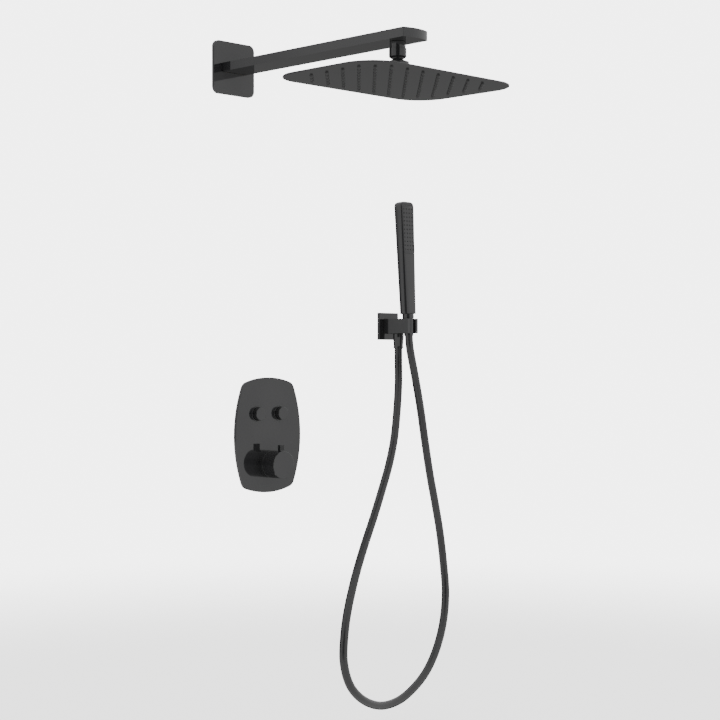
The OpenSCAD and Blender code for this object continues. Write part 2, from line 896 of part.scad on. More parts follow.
module handset_face() {
    color(soft_black) at_spray_face() translate([0, 0, -face_t + 0.1]) difference() {
        linear_extrude(face_t - 0.1) round_rect(face_w, face_len, face_r);
        for (site = spray_sites())
            translate([site[0], site[1], -1]) cylinder(h = face_t + 2, r = dot_r + 0.1, $fn = 16);
    }
}

function spray_sites() =
    [for (i = [0:spray_cols - 1], j = [0:spray_rows - 1])
        [(i - (spray_cols - 1) / 2) * spray_col_pitch, (j - (spray_rows - 1) / 2) * spray_row_pitch]];

module handset_nozzles() {
    color(rubber_black) at_spray_face() {
        translate([0, 0, -face_t - spray_mat_t])
            linear_extrude(spray_mat_t) square([chamber_w - 1, chamber_len - 1], center = true);
        for (site = spray_sites())
            translate([site[0], site[1], -face_t - 0.1])
                cylinder(h = face_t + dot_h + 0.1, r1 = dot_r, r2 = dot_r - 0.3, $fn = 16);
    }
}

arm_flange();
arm_base();
arm_bar();
arm_outlet_nipple();
inlet_filter();
ball_stud();
ball_seat_lower();
ball_seat_upper();
swivel_collar();
head_boss();
head_back();
head_gasket();
head_nozzles();
head_face();
valve_plate();
valve_gasket();
valve_body();
thermostat_cartridge();
cartridge_nut();
thermostat_piston();
temperature_spindle();
knob_sleeve();
temperature_knob();
knob_screw();
stop_button();
button_cartridge(-1);  // button_cartridge_left
button_stem(-1);  // button_stem_left
button_spring(-1);  // button_spring_left
button_ring(-1);  // button_ring_left
button_cap(-1);  // button_left
button_cartridge(1);  // button_cartridge_right
button_stem(1);  // button_stem_right
button_spring(1);  // button_spring_right
button_ring(1);  // button_ring_right
button_cap(1);  // button_right
outlet_plate();
outlet_stub();
holder_block();
outlet_spigot();
check_valve_cage();
check_valve_poppet();
outlet_hose_nut();
hose();
handset_hose_nut();
hose_washer();
handset_inlet();
handset_body();
handset_face();
handset_nozzles();
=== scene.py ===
"""Looks of the concealed rain shower set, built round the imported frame.

Lengths are millimetres in the row frame (X along the wall, -Y out of it, Z up) and become
metres when a mesh is made. Places come from the frame's joints and node boxes.
"""
import json
import math

import bpy
from mathutils import Matrix, Vector

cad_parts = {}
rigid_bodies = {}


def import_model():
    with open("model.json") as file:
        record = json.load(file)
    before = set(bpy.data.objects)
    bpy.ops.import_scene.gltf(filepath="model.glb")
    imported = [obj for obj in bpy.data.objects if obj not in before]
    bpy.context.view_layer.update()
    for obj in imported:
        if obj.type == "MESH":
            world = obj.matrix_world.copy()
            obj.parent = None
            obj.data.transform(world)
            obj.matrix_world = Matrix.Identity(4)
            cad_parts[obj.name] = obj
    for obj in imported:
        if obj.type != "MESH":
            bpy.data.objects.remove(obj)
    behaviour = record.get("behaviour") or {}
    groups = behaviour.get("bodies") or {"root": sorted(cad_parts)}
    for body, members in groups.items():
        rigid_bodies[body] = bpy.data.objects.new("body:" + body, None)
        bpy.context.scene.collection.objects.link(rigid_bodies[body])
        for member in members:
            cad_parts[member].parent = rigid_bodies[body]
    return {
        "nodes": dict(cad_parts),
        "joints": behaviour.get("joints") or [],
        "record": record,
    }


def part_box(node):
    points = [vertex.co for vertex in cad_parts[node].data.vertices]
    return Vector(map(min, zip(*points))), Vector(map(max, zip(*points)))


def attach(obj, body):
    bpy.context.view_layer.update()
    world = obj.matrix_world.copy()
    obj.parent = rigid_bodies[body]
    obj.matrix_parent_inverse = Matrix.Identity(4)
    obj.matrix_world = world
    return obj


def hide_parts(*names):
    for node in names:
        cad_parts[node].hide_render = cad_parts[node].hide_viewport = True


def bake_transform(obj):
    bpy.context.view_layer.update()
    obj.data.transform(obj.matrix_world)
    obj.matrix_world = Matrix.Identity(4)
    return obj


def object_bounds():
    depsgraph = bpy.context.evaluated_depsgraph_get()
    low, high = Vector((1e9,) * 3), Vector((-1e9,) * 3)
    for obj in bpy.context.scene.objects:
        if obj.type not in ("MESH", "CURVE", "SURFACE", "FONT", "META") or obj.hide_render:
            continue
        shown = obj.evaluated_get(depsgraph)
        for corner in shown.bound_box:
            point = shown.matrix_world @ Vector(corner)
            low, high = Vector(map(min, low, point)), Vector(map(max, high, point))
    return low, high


for stray in list(bpy.data.objects):
    bpy.data.objects.remove(stray)
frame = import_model()
cad_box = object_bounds()

MM = 0.001
SLOT_OF = {part["node"]: part["material_slot"] for part in frame["record"]["subparts"]}
JOINTS = {joint["name"]: joint for joint in frame["joints"]}


# ---- Camera ----

CAMERA_PLACE = (-1.600, -1.875, -0.442)     # metres
CAMERA_LENS = 80.75
CAMERA_SENSOR = 36
CAMERA_TURN = (math.radians(90), 0, math.radians(-45))


def make_camera():
    camera = bpy.data.objects.new("camera", bpy.data.cameras.new("camera"))
    bpy.context.scene.collection.objects.link(camera)
    camera.location = CAMERA_PLACE
    camera.rotation_euler = CAMERA_TURN
    camera.data.lens = CAMERA_LENS
    camera.data.sensor_width = CAMERA_SENSOR
    bpy.context.scene.camera = camera


make_camera()


# ---- Places, from the frame ----

def box_mm(node):
    low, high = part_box(node)
    return low / MM, high / MM


def joint_mm(name):
    return Vector(JOINTS[name]["pos_m"]) / MM


SWIVEL = joint_mm("head_spin")
KNOB = joint_mm("knob_turn")
CRADLE = joint_mm("handset_turn")
OUTLET = Vector((CRADLE.x, 0, CRADLE.z))
HANDSET_AXIS = Vector(JOINTS["handset_turn"]["axis"])
LEAN = Matrix.Rotation(-math.atan2(HANDSET_AXIS.y, HANDSET_AXIS.z), 4, "X")
OUT_OF_WALL = Matrix.Rotation(math.radians(90), 4, "X")      # turns a lathe's +Z to -Y
FACE_Z = box_mm("head_face")[0].z


# ---- Sizes shared by several pieces ----

PLATE_HALF_W, PLATE_HALF_H, PLATE_T = 67, 89, 5
KNOB_R, KNOB_WALL = 21.25, 2.5
KNOB_LOW, KNOB_TOP = 15, 40
BEZEL_IN_R = 10.4
GAP = 0.3                  # between pieces that move past each other
AXIS = 0.02                # the radius that stands for a lathe's own axis


# ---- Materials ----

def wire(tree, source, socket, target, name):
    tree.links.new(source.outputs[socket], target.inputs[name])


PATCH_BLEND = (0.35, 0.65)     # noise values where the dark and the light tone are full
ROUGH_BLEND = (0.3, 0.7)
ROUGH_SLOWER = 12              # the roughness varies this many times more slowly than the grain
GRAIN_DEPTH = 0.0001           # metres


def noise(tree, coords, scale, detail):
    """A noise texture in the piece's own metres."""
    node = tree.nodes.new("ShaderNodeTexNoise")
    node.inputs["Scale"].default_value = scale
    node.inputs["Detail"].default_value = detail
    wire(tree, coords, "Object", node, "Vector")
    return node


def surface(name, dark, light, rough, grain, bump, metal=0.0, patch=9.0):
    """A finish that varies: two tones in soft patches, a roughness range, and a fine grain."""
    material = bpy.data.materials.new(name)
    material.use_nodes = True
    tree = material.node_tree
    shader = tree.nodes["Principled BSDF"]
    shader.inputs["Metallic"].default_value = metal
    coords = tree.nodes.new("ShaderNodeTexCoord")

    tones = tree.nodes.new("ShaderNodeValToRGB")
    for stop, place, tone in zip(tones.color_ramp.elements, PATCH_BLEND, (dark, light)):
        stop.position = place
        stop.color = (*tone, 1)
    wire(tree, noise(tree, coords, patch, 5.0), "Fac", tones, "Fac")
    wire(tree, tones, "Color", shader, "Base Color")

    spread = tree.nodes.new("ShaderNodeMapRange")
    spread.inputs["From Min"].default_value = ROUGH_BLEND[0]
    spread.inputs["From Max"].default_value = ROUGH_BLEND[1]
    spread.inputs["To Min"].default_value = rough[0]
    spread.inputs["To Max"].default_value = rough[1]
    wire(tree, noise(tree, coords, grain / ROUGH_SLOWER, 4.0), "Fac", spread, "Value")
    wire(tree, spread, "Result", shader, "Roughness")

    relief = tree.nodes.new("ShaderNodeBump")
    relief.inputs["Strength"].default_value = bump
    relief.inputs["Distance"].default_value = GRAIN_DEPTH
    wire(tree, noise(tree, coords, grain, 2.0), "Fac", relief, "Height")
    wire(tree, relief, "Normal", shader, "Normal")
    return material


FINISHES = {
    "black_metal": surface("black_metal", (0.016, 0.016, 0.017), (0.022, 0.022, 0.023),
                           (0.030, 0.055), 900, 0.004),
    "black_plastic": surface("black_plastic", (0.014, 0.014, 0.015), (0.020, 0.020, 0.021),
                             (0.07, 0.12), 1500, 0.008),
    "nozzle_rubber": surface("nozzle_rubber", (0.022, 0.022, 0.022), (0.030, 0.030, 0.030),
                             (0.38, 0.52), 2500, 0.12),
    "seal_rubber": surface("seal_rubber", (0.015, 0.015, 0.015), (0.026, 0.026, 0.025),
                           (0.55, 0.75), 1800, 0.25),
    "hose_skin": surface("hose_skin", (0.013, 0.013, 0.014), (0.019, 0.019, 0.020),
                         (0.20, 0.30), 1400, 0.02),
    "brass": surface("brass", (0.55, 0.36, 0.14), (0.74, 0.53, 0.25),
                     (0.20, 0.42), 700, 0.30, metal=1.0, patch=30),
    "steel": surface("steel", (0.50, 0.50, 0.51), (0.62, 0.62, 0.63),
                     (0.18, 0.32), 900, 0.15, metal=1.0, patch=25),
    "grey_plastic": surface("grey_plastic", (0.10, 0.10, 0.11), (0.15, 0.15, 0.16),
                            (0.40, 0.55), 1600, 0.2),
    "white_plastic": surface("white_plastic", (0.70, 0.70, 0.67), (0.80, 0.80, 0.78),
                             (0.35, 0.50), 1500, 0.1),
}


# ---- Mesh helpers ----

TURNED_ANGLE = 32          # degrees: sharper edges than this stay sharp
FLAT_ANGLE = 28
SOFT_ANGLE = 40
THREAD_ANGLE = 24


def shade(obj, angle):
    obj.data.shade_smooth()
    obj.data.set_sharp_from_angle(angle=math.radians(angle))


def finish_piece(obj, slot, body, stands_for=()):
    obj.data.materials.clear()
    obj.data.materials.append(FINISHES[slot])
    if stands_for:
        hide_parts(*stands_for)
    if body:
        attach(obj, body)
    return obj


def mesh_piece(name, points, faces, slot, body, stands_for=(), place=None,
               angle=TURNED_ANGLE):
    """A piece from points in millimetres, which place moves into the row frame."""
    place = place or Matrix.Identity(4)
    mesh = bpy.data.meshes.new(name)
    mesh.from_pydata([(place @ Vector(p)) * MM for p in points], [], faces)
    mesh.update()
    obj = bpy.data.objects.new(name, mesh)
    bpy.context.scene.collection.objects.link(obj)
    shade(obj, angle)
    return finish_piece(obj, slot, body, stands_for)


def join(parts):
    """Several (points, faces) as one."""
    points, faces = [], []
    for more, sides in parts:
        start = len(points)
        points += more
        faces += [[i + start for i in face] for face in sides]
    return points, faces


def loft(rings, closed=False):
    """Skin over rings of equally many points, capped at both ends or closed on itself."""
    count = len(rings[0])
    points = [p for ring in rings for p in ring]
    faces = []
    for i in range(len(rings) if closed else len(rings) - 1):
        here, there = i * count, (i + 1) % len(rings) * count
        for k in range(count):
            after = (k + 1) % count
            faces.append([here + k, here + after, there + after, there + k])
    if not closed:
        faces.append(list(range(count))[::-1])
        faces.append([(len(rings) - 1) * count + k for k in range(count)])
    return points, faces


HOLD = 0.25                # loop beside each rounding, in radii, that keeps the flats flat


def fillet(corners, steps=4):
    """Polyline whose corners (a, b, radius) are rounded off."""
    line = []
    for i, (a, b, radius) in enumerate(corners):
        here = Vector((a, b))
        if not radius:
            line.append(here)
            continue
        to_last = (Vector(corners[i - 1][:2]) - here).normalized()
        to_next = (Vector(corners[(i + 1) % len(corners)][:2]) - here).normalized()
        half = to_last.angle(to_next) / 2
        start = here + to_last * radius / math.tan(half)
        end = here + to_next * radius / math.tan(half)
        hold = HOLD * radius
        line.append(start + to_last * hold)
        centre = here + (to_last + to_next).normalized() * radius / math.sin(half)
        for k in range(steps + 1):
            spoke = (start - centre).lerp(end - centre, k / steps).normalized() * radius
            line.append(centre + spoke)
        line.append(end + to_next * hold)
    return line


def lathe(profile, sides=64, closed=True):
    """Turns a profile of (radius, height) about Z; closed profiles make a ring."""
    rings = [
        [(r * math.cos(2 * math.pi * k / sides), r * math.sin(2 * math.pi * k / sides), h)
         for k in range(sides)]
        for r, h in profile
    ]
    return loft(rings, closed)


def round_rect_ring(width, depth, radius, height, steps=8):
    """Ring of points round a rectangle with round corners, counter-clockwise."""
    ring = []
    for corner, (sx, sy) in enumerate([(1, 1), (-1, 1), (-1, -1), (1, -1)]):
        for k in range(steps + 1):
            turn = math.radians(90 * corner + 90 * k / steps)
            ring.append((sx * (width / 2 - radius) + radius * math.cos(turn),
                         sy * (depth / 2 - radius) + radius * math.sin(turn), height))
    return ring


def round_rect_outline(width, depth, radius, steps=8):
    return [(x, y) for x, y, _ in round_rect_ring(width, depth, radius, 0, steps)]


def circle_ring(x, y, radius, sides=20):
    return [(x + radius * math.cos(2 * math.pi * k / sides),
             y + radius * math.sin(2 * math.pi * k / sides)) for k in range(sides)]


def plate_piece(name, outline, holes, low, high, edge, slot, body, stands_for, place):
    """A flat plate with true holes and rounded edges, from z = low to z = high."""
    curve = bpy.data.curves.new(name, "CURVE")
    curve.dimensions = "2D"
    curve.fill_mode = "BOTH"
    for ring in [outline] + [hole[::-1] for hole in holes]:
        spline = curve.splines.new("POLY")
        spline.points.add(len(ring) - 1)
        for point, xy in zip(spline.points, ring):
            point.co = (xy[0], xy[1], 0, 1)
        spline.use_cyclic_u = True
    curve.extrude = (high - low) / 2 - edge
    curve.bevel_depth = edge
    curve.bevel_resolution = 2
    curve.offset = -edge
    holder = bpy.data.objects.new(name + "_curve", curve)
    bpy.context.scene.collection.objects.link(holder)
    bpy.context.view_layer.update()
    mesh = bpy.data.meshes.new_from_object(holder)
    bpy.data.objects.remove(holder)
    mesh.name = name
    middle = Matrix.Translation((0, 0, (low + high) / 2))
    mesh.transform(Matrix.Scale(MM, 4) @ place @ middle)
    obj = bpy.data.objects.new(name, mesh)
    bpy.context.scene.collection.objects.link(obj)
    shade(obj, FLAT_ANGLE)
    return finish_piece(obj, slot, body, stands_for)


def merge(name, pieces, slot, body, stands_for, angle=FLAT_ANGLE):
    """Several pieces of one part as a single mesh."""
    points, faces = [], []
    for piece in pieces:
        start = len(points)
        points += [v.co / MM for v in piece.data.vertices]
        faces += [[i + start for i in face.vertices] for face in piece.data.polygons]
        bpy.data.objects.remove(piece)
    return mesh_piece(name, points, faces, slot, body, stands_for, None, angle)


def at(point, turn=None):
    return Matrix.Translation(point) @ (turn or Matrix.Identity(4))


# ---- Hose ----

HOSE_D = 13
HOSE_SIDES = 28
HOSE_STEPS = 12
HOSE_ROUTE = [
    (0, -27, -37), (0, -27, -60), (-4, -31, -95), (-15, -38, -140),
    (-30, -46, -185), (-50, -54, -225), (-75, -62, -265), (-105, -72, -308),
    (-135, -81, -350), (-163, -90, -393), (-187, -98, -440), (-201, -104, -480),
    (-205, -107, -520), (-193, -109, -557), (-162, -107, -584), (-118, -101, -600),
    (-72, -95, -600), (-30, -89, -587), (8, -83, -565), (38, -78, -532),
    (60, -73, -490), (71, -68, -445), (71, -64, -400), (64, -62, -345),
    (52, -62, -295), (40, -61, -245), (29, -60, -190), (20, -58, -135),
    (11, -55, -85), (3.5, -53, -50), (0.5, -52, -32), (0, -51, -16.2),
]
HOSE_IN_NUT = 1.2          # how far the skin is pushed into each nut


def smooth_line(points, steps):
    """Catmull-Rom curve through the points."""
    line = []
    last = len(points) - 1
    for i in range(last):
        a, b, c, d = (points[max(0, i - 1)], points[i], points[i + 1], points[min(last, i + 2)])
        for k in range(steps):
            t = k / steps
            line.append(0.5 * (2 * b + (c - a) * t + (2 * a - 5 * b + 4 * c - d) * t * t
                               + (3 * b - a - 3 * c + d) * t ** 3))
    return line + [points[last]]


def tube(line, radius, sides):
    """Rings along a line, turned as little as possible from one to the next."""
    rings = []
    side = Vector((1, 0, 0))
    for i, point in enumerate(line):
        ahead = (line[min(len(line) - 1, i + 1)] - line[max(0, i - 1)]).normalized()
        side = (side - ahead * side.dot(ahead)).normalized()
        up = ahead.cross(side)
        rings.append([
            point + radius * (side * math.cos(2 * math.pi * k / sides)
                              + up * math.sin(2 * math.pi * k / sides))
            for k in range(sides)
        ])
    return loft(rings)


def make_hose():
    route = [OUTLET + Vector(p) for p in HOSE_ROUTE]
    line = smooth_line(route, HOSE_STEPS)
    line[0] += Vector((0, 0, HOSE_IN_NUT))
    line[-1] += (line[-1] - line[-2]).normalized() * HOSE_IN_NUT
    travelled = [0.0]
    for a, b in zip(line, line[1:]):
        travelled.append(travelled[-1] + (b - a).length)
    points, faces = tube(line, HOSE_D / 2, HOSE_SIDES)
    hose = mesh_piece("hose_tube", points, faces, "hose_skin", None, ["hose"])
    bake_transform(hose)


make_hose()


# ---- Turned pieces ----

def arc(radius, low, high, steps=14, flip=False):
    """Points (r, z) on a circle round the origin between two heights."""
    start, end = math.asin(low / radius), math.asin(high / radius)
    line = [(radius * math.cos(start + (end - start) * k / steps),
             radius * math.sin(start + (end - start) * k / steps)) for k in range(steps + 1)]
    return line[::-1] if flip else line


def turned(name, node, slot, body, place, corners, sides=96):
    """A lathed piece; each corner is (radius, height) or (radius, height, rounding)."""
    line = fillet([(c[0], c[1], c[2] if len(c) > 2 else 0) for c in corners])
    points, faces = lathe([(v[0], v[1]) for v in line], sides)
    return mesh_piece(name, points, faces, slot, body, [node], place)


def cutter(points, faces, place):
    """A closed shape in millimetres, to be taken out of a piece."""
    mesh = bpy.data.meshes.new("cutter")
    mesh.from_pydata([(place @ Vector(p)) * MM for p in points], [], faces)
    tool = bpy.data.objects.new("cutter", mesh)
    bpy.context.scene.collection.objects.link(tool)
    return tool


def box_cutter(low, high, place):
    corners = [(x, y, z) for x in (low[0], high[0]) for y in (low[1], high[1])
               for z in (low[2], high[2])]
    return cutter(corners, [(0, 1, 3, 2), (4, 6, 7, 5), (0, 4, 5, 1), (2, 3, 7, 6),
                            (0, 2, 6, 4), (1, 5, 7, 3)], place)


def cut(piece, tool):
    modifier = piece.modifiers.new("cut", "BOOLEAN")
    modifier.operation = "DIFFERENCE"
    modifier.solver = "EXACT"
    modifier.object = tool
    bpy.context.view_layer.update()
    graph = bpy.context.evaluated_depsgraph_get()
    mesh = bpy.data.meshes.new_from_object(piece.evaluated_get(graph))
    piece.modifiers.clear()
    piece.data = mesh
    bpy.data.objects.remove(tool)


# The ball joint, measured from the ball's centre
BALL_R, BALL_LOW, BALL_TOP = 9.6, -8.94, 7.87
BALL_NECK_R = 5.5
SHOULDER_R, SHOULDER_Z = 9, 8.3
STUD_NUT_R, STUD_NUT_LOW, STUD_NUT_STEP = 12, 9.5, 22.5
STUD_CHAMFER = 1.5
STUD_TOP_R = 11
NIPPLE_R, NIPPLE_END = 8.05, 19.2
STUD_BORE_R = 3.5
COLLAR_BORE_R, COLLAR_LOW, COLLAR_STEP, COLLAR_TOP = 10.3, -14, 4, 6
COLLAR_R, COLLAR_WAIST_R, COLLAR_NECK_R = 15.5, 11.6, 9.8


def make_swivel():
    centre = at(SWIVEL)
    top = (box_mm("ball_stud")[1] - SWIVEL).z
    stud = arc(BALL_R, BALL_LOW, BALL_TOP) + [
        (BALL_NECK_R, SHOULDER_Z), (SHOULDER_R, SHOULDER_Z, 0.3), (SHOULDER_R, STUD_NUT_LOW),
        (STUD_NUT_R - STUD_CHAMFER, STUD_NUT_LOW, 0.4),
        (STUD_NUT_R, STUD_NUT_LOW + STUD_CHAMFER, 0.6), (STUD_NUT_R, STUD_NUT_STEP, 0.4),
        (STUD_TOP_R, STUD_NUT_STEP), (STUD_TOP_R, top, 0.3), (NIPPLE_R, top),
        (NIPPLE_R, NIPPLE_END), (STUD_BORE_R, NIPPLE_END)]
    turned("swivel_stud", "ball_stud", "black_metal", "wall_parts", centre, stud)
    collar = [(COLLAR_BORE_R, COLLAR_LOW), (COLLAR_R, COLLAR_LOW, 0.5),
              (COLLAR_R, COLLAR_STEP, 0.6), (COLLAR_WAIST_R, COLLAR_STEP, 0.4),
              (COLLAR_NECK_R, COLLAR_TOP, 0.4)]
    turned("swivel_cap", "swivel_collar", "black_metal", "rain_head", centre,
           collar + arc(COLLAR_BORE_R, 0, COLLAR_TOP, steps=8, flip=True))


# The knob, measured from the wall
KNOB_SKIN = 3
KNOB_SIDES = 128
KNOB_SCREW_R, KNOB_SCREW_TOP = 1.7, 36
KNOB_SPINDLE_R, KNOB_SPINDLE_TOP = 4.55, 33
KNOB_HUB_R, KNOB_HUB_LOW = 8, 18
SLEEVE_TOP = 14.5
TAB_SLOT_IN, TAB_SLOT_RISE = 1.2, 23


def make_knob():
    place = at((KNOB.x, 0, KNOB.z), OUT_OF_WALL)
    inner = KNOB_R - KNOB_WALL
    knob = turned("knob_shell", "temperature_knob", "black_metal", "knob", place, [
        (KNOB_R, KNOB_LOW, 0.3), (KNOB_R, KNOB_TOP, 0.8), (AXIS, KNOB_TOP),
        (AXIS, KNOB_SCREW_TOP), (KNOB_SCREW_R, KNOB_SCREW_TOP), (KNOB_SCREW_R, KNOB_SPINDLE_TOP),
        (KNOB_SPINDLE_R, KNOB_SPINDLE_TOP), (KNOB_SPINDLE_R, KNOB_HUB_LOW),
        (KNOB_HUB_R, KNOB_HUB_LOW), (KNOB_HUB_R, KNOB_TOP - KNOB_SKIN),
        (inner, KNOB_TOP - KNOB_SKIN), (inner, KNOB_LOW)], KNOB_SIDES)
    low, high = box_mm("stop_button")
    cut(knob, box_cutter(
        (low.x + TAB_SLOT_IN, low.y - GAP, KNOB.z + KNOB_LOW),
        (high.x - TAB_SLOT_IN, high.y + GAP, KNOB.z + TAB_SLOT_RISE), Matrix.Identity(4)))
    turned("sleeve_ring", "knob_sleeve", "black_metal", "wall_parts", place, [
        (KNOB_R, PLATE_T), (KNOB_R, SLEEVE_TOP, 0.3), (inner, SLEEVE_TOP, 0.3),
        (inner, PLATE_T)], KNOB_SIDES)


# The push buttons, measured from the wall
CAP_OUT_R, CAP_IN_R = 10, 8
CAP_BACK, CAP_ROOF, CAP_FACE = 2, 12, 14
BEZEL_R, BEZEL_TOP = 12, 6


def make_buttons():
    for side in ("left", "right"):
        low, high = box_mm("button_" + side)
        place = at(((low.x + high.x) / 2, 0, (low.z + high.z) / 2), OUT_OF_WALL)
        turned("cap_" + side, "button_" + side, "black_metal", "button_" + side, place, [
            (CAP_OUT_R, CAP_BACK), (CAP_OUT_R, CAP_FACE, 0.9), (AXIS, CAP_FACE),
            (AXIS, CAP_ROOF), (CAP_IN_R, CAP_ROOF), (CAP_IN_R, CAP_BACK)])
        turned("bezel_" + side, "button_ring_" + side, "black_metal", "wall_parts", place, [
            (BEZEL_IN_R, PLATE_T), (BEZEL_R, PLATE_T), (BEZEL_R, BEZEL_TOP, 0.4),
            (BEZEL_IN_R, BEZEL_TOP, 0.2)])


# The hose's end nuts: the wall end from the outlet's axis, the handset end from the cradle
HOSE_BORE_R = 4
WALL_NUT_Y = -27
WALL_NUT_R, WALL_NUT_TOP, WALL_NUT_GRIP = 8.9, -12.2, -18.2
WALL_THREAD_R, WALL_THREAD_END = 7.55, -23.2
WALL_BORE_END = -32.7
WALL_CONE_R, WALL_CONE_END = 7.7, -33.4
WALL_RING_R, WALL_RING_TOP, WALL_RING_END = 8.1, -34, -36.7
CONE_TOP_R, CONE_LOW_R, CONE_SHOULDER, CONE_END = 9.1, 7.6, 12.9, -16
CONE_HEAD_R, CONE_HEAD_TOP = 9.5, 19.99
CONE_THREAD_END, CONE_BORE_END = 8.5, -12


def make_hose_nuts():
    place = at(OUTLET + Vector((0, WALL_NUT_Y, 0)))
    turned("outlet_nut", "outlet_hose_nut", "black_metal", "wall_parts", place, [
        (AXIS, WALL_BORE_END), (HOSE_BORE_R, WALL_BORE_END), (HOSE_BORE_R, WALL_THREAD_END),
        (WALL_THREAD_R, WALL_THREAD_END), (WALL_THREAD_R, WALL_NUT_TOP),
        (WALL_NUT_R, WALL_NUT_TOP, 0.3), (WALL_NUT_R, WALL_NUT_GRIP, 0.4),
        (WALL_CONE_R, WALL_CONE_END, 0.3), (WALL_RING_R, WALL_RING_TOP, 0.3),
        (WALL_RING_R, WALL_RING_END, 0.5), (AXIS, WALL_RING_END)])
    turned("handset_nut", "handset_hose_nut", "black_metal", "hose_nut", at(CRADLE, LEAN), [
        (AXIS, CONE_BORE_END), (HOSE_BORE_R, CONE_BORE_END), (HOSE_BORE_R, CONE_THREAD_END),
        (CONE_LOW_R, CONE_THREAD_END), (CONE_LOW_R, CONE_HEAD_TOP),
        (CONE_HEAD_R, CONE_HEAD_TOP, 0.3), (CONE_HEAD_R, CONE_SHOULDER, 0.4),
        (CONE_TOP_R, CONE_SHOULDER), (CONE_LOW_R, CONE_END, 0.4), (AXIS, CONE_END)])


# ---- Wall plates and threads ----

SIDE_R, END_R, CORNER_R = 200, 140, 14
PLATE_SKIN, PLATE_RIM, RIM_OVERLAP = 2, 2.5, 0.6
KNOB_HOLE_R = 18
COVER_SIDE, COVER_R = 45, 1.5
COVER_HOLE, COVER_HOLE_R = 23.9, 0.6
ROOT_W, ROOT_H, ROOT_R, ROOT_T = 60, 32, 4, 3
THREAD_R, THREAD_PITCH, THREAD_DEPTH = 10.4, 1.81, 1.0
THREAD_FOOT, THREAD_CREST, THREAD_BACK = 0.4, 0.3, 0.7
ARM_BORE_R, ARM_STUB_LEN, ARM_STUB_IN = 7, 18, 0.5
OUTLET_BORE_R, OUTLET_STUB_LEN = 5, 11
STUB_SIDES = 72


def barrel(inset):
    """Four shallow arcs that meet in round corners."""
    side_x, end_y = PLATE_HALF_W - SIDE_R, PLATE_HALF_H - END_R
    corner = CORNER_R - inset / 2
    to_side, to_end = SIDE_R - inset - corner, END_R - inset - corner
    apart = math.hypot(side_x, end_y)
    along = (to_side ** 2 - to_end ** 2 + apart ** 2) / (2 * apart)
    off = math.sqrt(to_side ** 2 - along ** 2)
    ux, uy = -side_x / apart, end_y / apart
    spots = [(side_x + ux * along - uy * off * k, uy * along + ux * off * k) for k in (1, -1)]
    x, y = max(spots, key=lambda spot: spot[0] + spot[1])
    turn_a, turn_b = math.atan2(y, x - side_x), math.atan2(y - end_y, x)

    def sweep(cx, cy, radius, start, end, steps):
        return [(cx + radius * math.cos(start + (end - start) * k / steps),
                 cy + radius * math.sin(start + (end - start) * k / steps)) for k in range(steps)]

    quarter = (sweep(side_x, 0, SIDE_R - inset, 0, turn_a, 18)
               + sweep(x, y, corner, turn_a, turn_b, 14)
               + sweep(0, end_y, END_R - inset, turn_b, math.pi / 2, 18))
    top = [(0, PLATE_HALF_H - inset)]
    right, left = quarter, [(-a, b) for a, b in quarter[::-1]]
    upper = right + top + left
    return upper + [(a, -b) for a, b in upper[-2:0:-1]]


def make_valve_plate():
    low, high = box_mm("valve_plate")
    centre = (low + high) / 2
    place = at((centre.x, 0, centre.z), OUT_OF_WALL)
    holes = [circle_ring(0, KNOB.z - centre.z, KNOB_HOLE_R, sides=72)]
    for side in ("left", "right"):
        low, high = box_mm("button_" + side)
        middle = (low + high) / 2 - centre
        holes.append(circle_ring(middle.x, middle.z, BEZEL_IN_R, sides=56))
    outline = barrel(0)
    skin = plate_piece("skin", outline, holes, PLATE_T - PLATE_SKIN, PLATE_T, 0.5,
                       "black_metal", None, (), place)
    rim = plate_piece("rim", outline, [barrel(PLATE_RIM)], 0, PLATE_T - PLATE_SKIN + RIM_OVERLAP,
                      0.2, "black_metal", None, (), place)
    merge("valve_cover", [skin, rim], "black_metal", "wall_parts", ["valve_plate"])


def make_outlet_cover():
    """The square cover plate, which sits tight round the holder block."""
    plate_piece("outlet_cover", round_rect_outline(COVER_SIDE, COVER_SIDE, COVER_R),
                [round_rect_outline(COVER_HOLE, COVER_HOLE, COVER_HOLE_R)], 0, PLATE_T, 0.35,
                "black_metal", "wall_parts", ["outlet_plate"], at(OUTLET, OUT_OF_WALL))


def threaded(bore, low, high):
    """Profile of a pipe with a thread outside, as rings."""
    root = THREAD_R - THREAD_DEPTH
    line = [(bore, high), (bore, low), (root, low)]
    height = low + THREAD_PITCH / 2
    while height + THREAD_PITCH / 2 < high:
        line += [(root, height - THREAD_FOOT), (THREAD_R, height),
                 (THREAD_R, height + THREAD_CREST), (root, height + THREAD_BACK)]
        height += THREAD_PITCH
    return line + [(root, high)]


def make_threads():
    place = at((0, 0, 0), OUT_OF_WALL)
    base = plate_piece("base", round_rect_outline(ROOT_W, ROOT_H, ROOT_R),
                       [circle_ring(0, 0, ARM_BORE_R, sides=48)], 0, ROOT_T, 0.4,
                       "brass", None, (), place)
    points, faces = lathe(threaded(ARM_BORE_R, -ARM_STUB_LEN, ARM_STUB_IN), STUB_SIDES)
    stub = mesh_piece("stub", points, faces, "brass", None, (), place)
    merge("arm_root", [base, stub], "brass", "wall_parts", ["arm_base"], THREAD_ANGLE)
    points, faces = lathe(threaded(OUTLET_BORE_R, -OUTLET_STUB_LEN, 0), STUB_SIDES)
    mesh_piece("outlet_root", points, faces, "brass", "wall_parts", ["outlet_stub"],
               at(OUTLET, OUT_OF_WALL), THREAD_ANGLE)


# ---- Rain head ----

